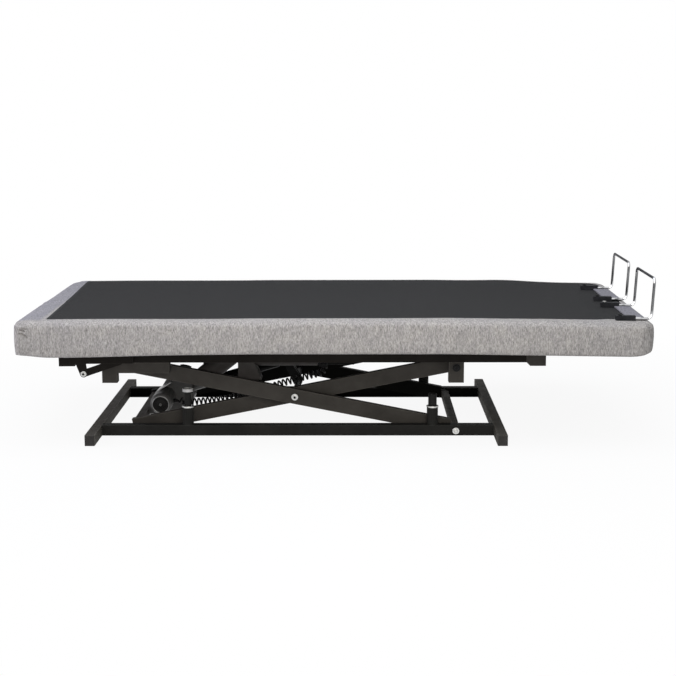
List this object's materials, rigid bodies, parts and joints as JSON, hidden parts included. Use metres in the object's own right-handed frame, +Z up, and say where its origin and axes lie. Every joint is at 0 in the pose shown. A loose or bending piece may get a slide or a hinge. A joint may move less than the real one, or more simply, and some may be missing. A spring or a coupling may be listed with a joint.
{
  "type": "adjustable high-low bed base",
  "caption": "Powered bed base: padded fabric deck in hinged sections on a black scissor lift, with wire mattress retainers at the foot end.",
  "frame": {"origin": "on the floor under the middle of the part", "axes": "+X towards the foot end, +Y across to the far long side, +Z up"},
  "size_m": [2.0361, 0.965, 0.5442],
  "materials": {
    "frame_black": "satin black powder coat",
    "rail_black": "satin black powder coat",
    "zinc": "zinc-plated steel",
    "chrome": "bright chrome-plated wire",
    "retainer_grey": "grey painted sheet steel",
    "roller_black": "black nylon",
    "buffer_black": "black plastic",
    "housing_black": "black moulded plastic with a fine grain",
    "deck_fabric": "grey woven upholstery with a black top panel",
    "cord_black": "black cord sheath"
  },
  "bodies": {
    "base": {"base_foot_head": "frame_black", "base_foot_foot": "frame_black", "base_rail_near": "rail_black", "base_rail_far": "rail_black", "lower_pivot_bolt_near": "zinc", "lower_pivot_bolt_far": "zinc", "buffer_sleeve_near_head": "frame_black", "buffer_sleeve_near_foot": "frame_black", "buffer_sleeve_far_head": "frame_black", "buffer_sleeve_far_foot": "frame_black"},
    "outer_arms": {"outer_arm_near": "frame_black", "outer_arm_far": "frame_black", "outer_arm_cross_tube": "frame_black", "scissor_centre_shaft": "zinc", "lift_crank": "frame_black"},
    "inner_arms": {"inner_arm_near": "frame_black", "inner_arm_far": "frame_black", "inner_arm_cross_tube": "frame_black", "lift_actuator": "housing_black", "lift_motor": "housing_black", "curly_cord": "cord_black"},
    "lift_rod": {"lift_rod": "zinc"},
    "carriage": {"carriage_rail_near": "rail_black", "carriage_rail_far": "rail_black", "foot_rest_bracket_near": "rail_black", "foot_rest_bracket_far": "rail_black", "guide_channel_near": "rail_black", "guide_channel_far": "rail_black", "pivot_bracket_near": "rail_black", "pivot_bracket_far": "rail_black", "carriage_head_tube": "frame_black", "carriage_seat_tube": "frame_black", "carriage_thigh_tube": "frame_black", "upper_pivot_shaft": "frame_black", "control_box": "housing_black", "leg_actuator": "housing_black", "leg_actuator_hanger": "frame_black", "back_actuator": "housing_black", "seat_section": "deck_fabric"},
    "back": {"back_section": "deck_fabric", "back_crank": "frame_black", "back_brace_near": "frame_black", "back_brace_far": "frame_black"},
    "back_rod": {"back_rod": "zinc"},
    "thigh": {"thigh_section": "deck_fabric", "thigh_crank": "frame_black"},
    "leg_rod": {"leg_rod": "zinc"},
    "foot": {"foot_section": "deck_fabric", "retainer_plate_near": "retainer_grey", "retainer_plate_far": "retainer_grey"},
    "loop_near": {"retainer_loop_near": "chrome"},
    "loop_far": {"retainer_loop_far": "chrome"},
    "upper_roller_near": {"upper_roller_near": "roller_black"},
    "upper_roller_far": {"upper_roller_far": "roller_black"},
    "lower_roller_near": {"lower_roller_near": "roller_black"},
    "lower_roller_far": {"lower_roller_far": "roller_black"},
    "plunger_near_head": {"buffer_plunger_near_head": "buffer_black"},
    "plunger_near_foot": {"buffer_plunger_near_foot": "buffer_black"},
    "plunger_far_head": {"buffer_plunger_far_head": "buffer_black"},
    "plunger_far_foot": {"buffer_plunger_far_foot": "buffer_black"}
  },
  "joints": [
    {"name": "lift", "type": "hinge", "parent": "base", "child": "outer_arms", "pos_m": [0.4, 0, 0.0185], "axis": [0, 1, 0], "range_deg": [-4.3, 16.5], "deforming": ["curly_cord"]},
    {"name": "scissor_cross", "type": "hinge", "parent": "outer_arms", "child": "inner_arms", "pos_m": [-0.135, 0, 0.1245], "axis": [0, 1, 0], "range_deg": [-33.1, 8.7]},
    {"name": "carriage_level", "type": "hinge", "parent": "inner_arms", "child": "carriage", "pos_m": [0.4, 0, 0.2305], "axis": [0, 1, 0], "range_deg": [-4.4, 16.6]},
    {"name": "lift_rod_stroke", "type": "slide", "parent": "inner_arms", "child": "lift_rod", "axis": [0.9613, 0, 0.2756], "range_m": [-0.0127, 0.0482]},
    {"name": "back_lift", "type": "hinge", "parent": "carriage", "child": "back", "pos_m": [-0.25, 0, 0.416], "axis": [0, 1, 0], "range_deg": [0, 65]},
    {"name": "back_rod_stroke", "type": "slide", "parent": "carriage", "child": "back_rod", "axis": [-1, 0, 0], "range_m": [0, 0.2182]},
    {"name": "thigh_lift", "type": "hinge", "parent": "carriage", "child": "thigh", "pos_m": [0.015, 0, 0.416], "axis": [0, -1, 0], "range_deg": [0, 35]},
    {"name": "leg_rod_stroke", "type": "slide", "parent": "carriage", "child": "leg_rod", "axis": [1, 0, 0], "range_m": [0, 0.1163]},
    {"name": "knee_bend", "type": "hinge", "parent": "thigh", "child": "foot", "pos_m": [0.36, 0, 0.306], "axis": [0, 1, 0], "range_deg": [0, 52.6]},
    {"name": "loop_near_slide", "type": "slide", "parent": "foot", "child": "loop_near", "axis": [0.9999, 0, -0.0162], "range_m": [0, 0.03]},
    {"name": "loop_far_slide", "type": "slide", "parent": "foot", "child": "loop_far", "axis": [0.9999, 0, -0.0162], "range_m": [0, 0.03]},
    {"name": "upper_roller_near_spin", "type": "hinge", "parent": "outer_arms", "child": "upper_roller_near", "pos_m": [-0.67, -0.2933, 0.2305], "axis": [0, 1, 0], "continuous": true},
    {"name": "upper_roller_far_spin", "type": "hinge", "parent": "outer_arms", "child": "upper_roller_far", "pos_m": [-0.67, 0.2933, 0.2305], "axis": [0, 1, 0], "continuous": true},
    {"name": "lower_roller_near_spin", "type": "hinge", "parent": "inner_arms", "child": "lower_roller_near", "pos_m": [-0.67, -0.2933, 0.0185], "axis": [0, 1, 0], "continuous": true},
    {"name": "lower_roller_far_spin", "type": "hinge", "parent": "inner_arms", "child": "lower_roller_far", "pos_m": [-0.67, 0.2933, 0.0185], "axis": [0, 1, 0], "continuous": true},
    {"name": "plunger_near_head_press", "type": "slide", "parent": "base", "child": "plunger_near_head", "axis": [0, 0, 1], "range_m": [-0.012, 0], "stiffness_N_per_m": 1500, "springref_m": 0.012},
    {"name": "plunger_near_foot_press", "type": "slide", "parent": "base", "child": "plunger_near_foot", "axis": [0, 0, 1], "range_m": [-0.012, 0], "stiffness_N_per_m": 1500, "springref_m": 0.012},
    {"name": "plunger_far_head_press", "type": "slide", "parent": "base", "child": "plunger_far_head", "axis": [0, 0, 1], "range_m": [-0.012, 0], "stiffness_N_per_m": 1500, "springref_m": 0.012},
    {"name": "plunger_far_foot_press", "type": "slide", "parent": "base", "child": "plunger_far_foot", "axis": [0, 0, 1], "range_m": [-0.012, 0], "stiffness_N_per_m": 1500, "springref_m": 0.012}
  ],
  "couplings": [
    {"joint": "scissor_cross", "follows": "lift", "ratio": -2},
    {"joint": "carriage_level", "follows": "lift", "ratio": 1},
    {"joint": "lift_rod_stroke", "follows": "lift", "m_per_rad": 0.1665},
    {"joint": "back_rod_stroke", "follows": "back_lift", "m_per_rad": 0.19205},
    {"joint": "leg_rod_stroke", "follows": "thigh_lift", "m_per_rad": 0.18994},
    {"joint": "knee_bend", "follows": "thigh_lift", "ratio": 1.5}
  ]
}
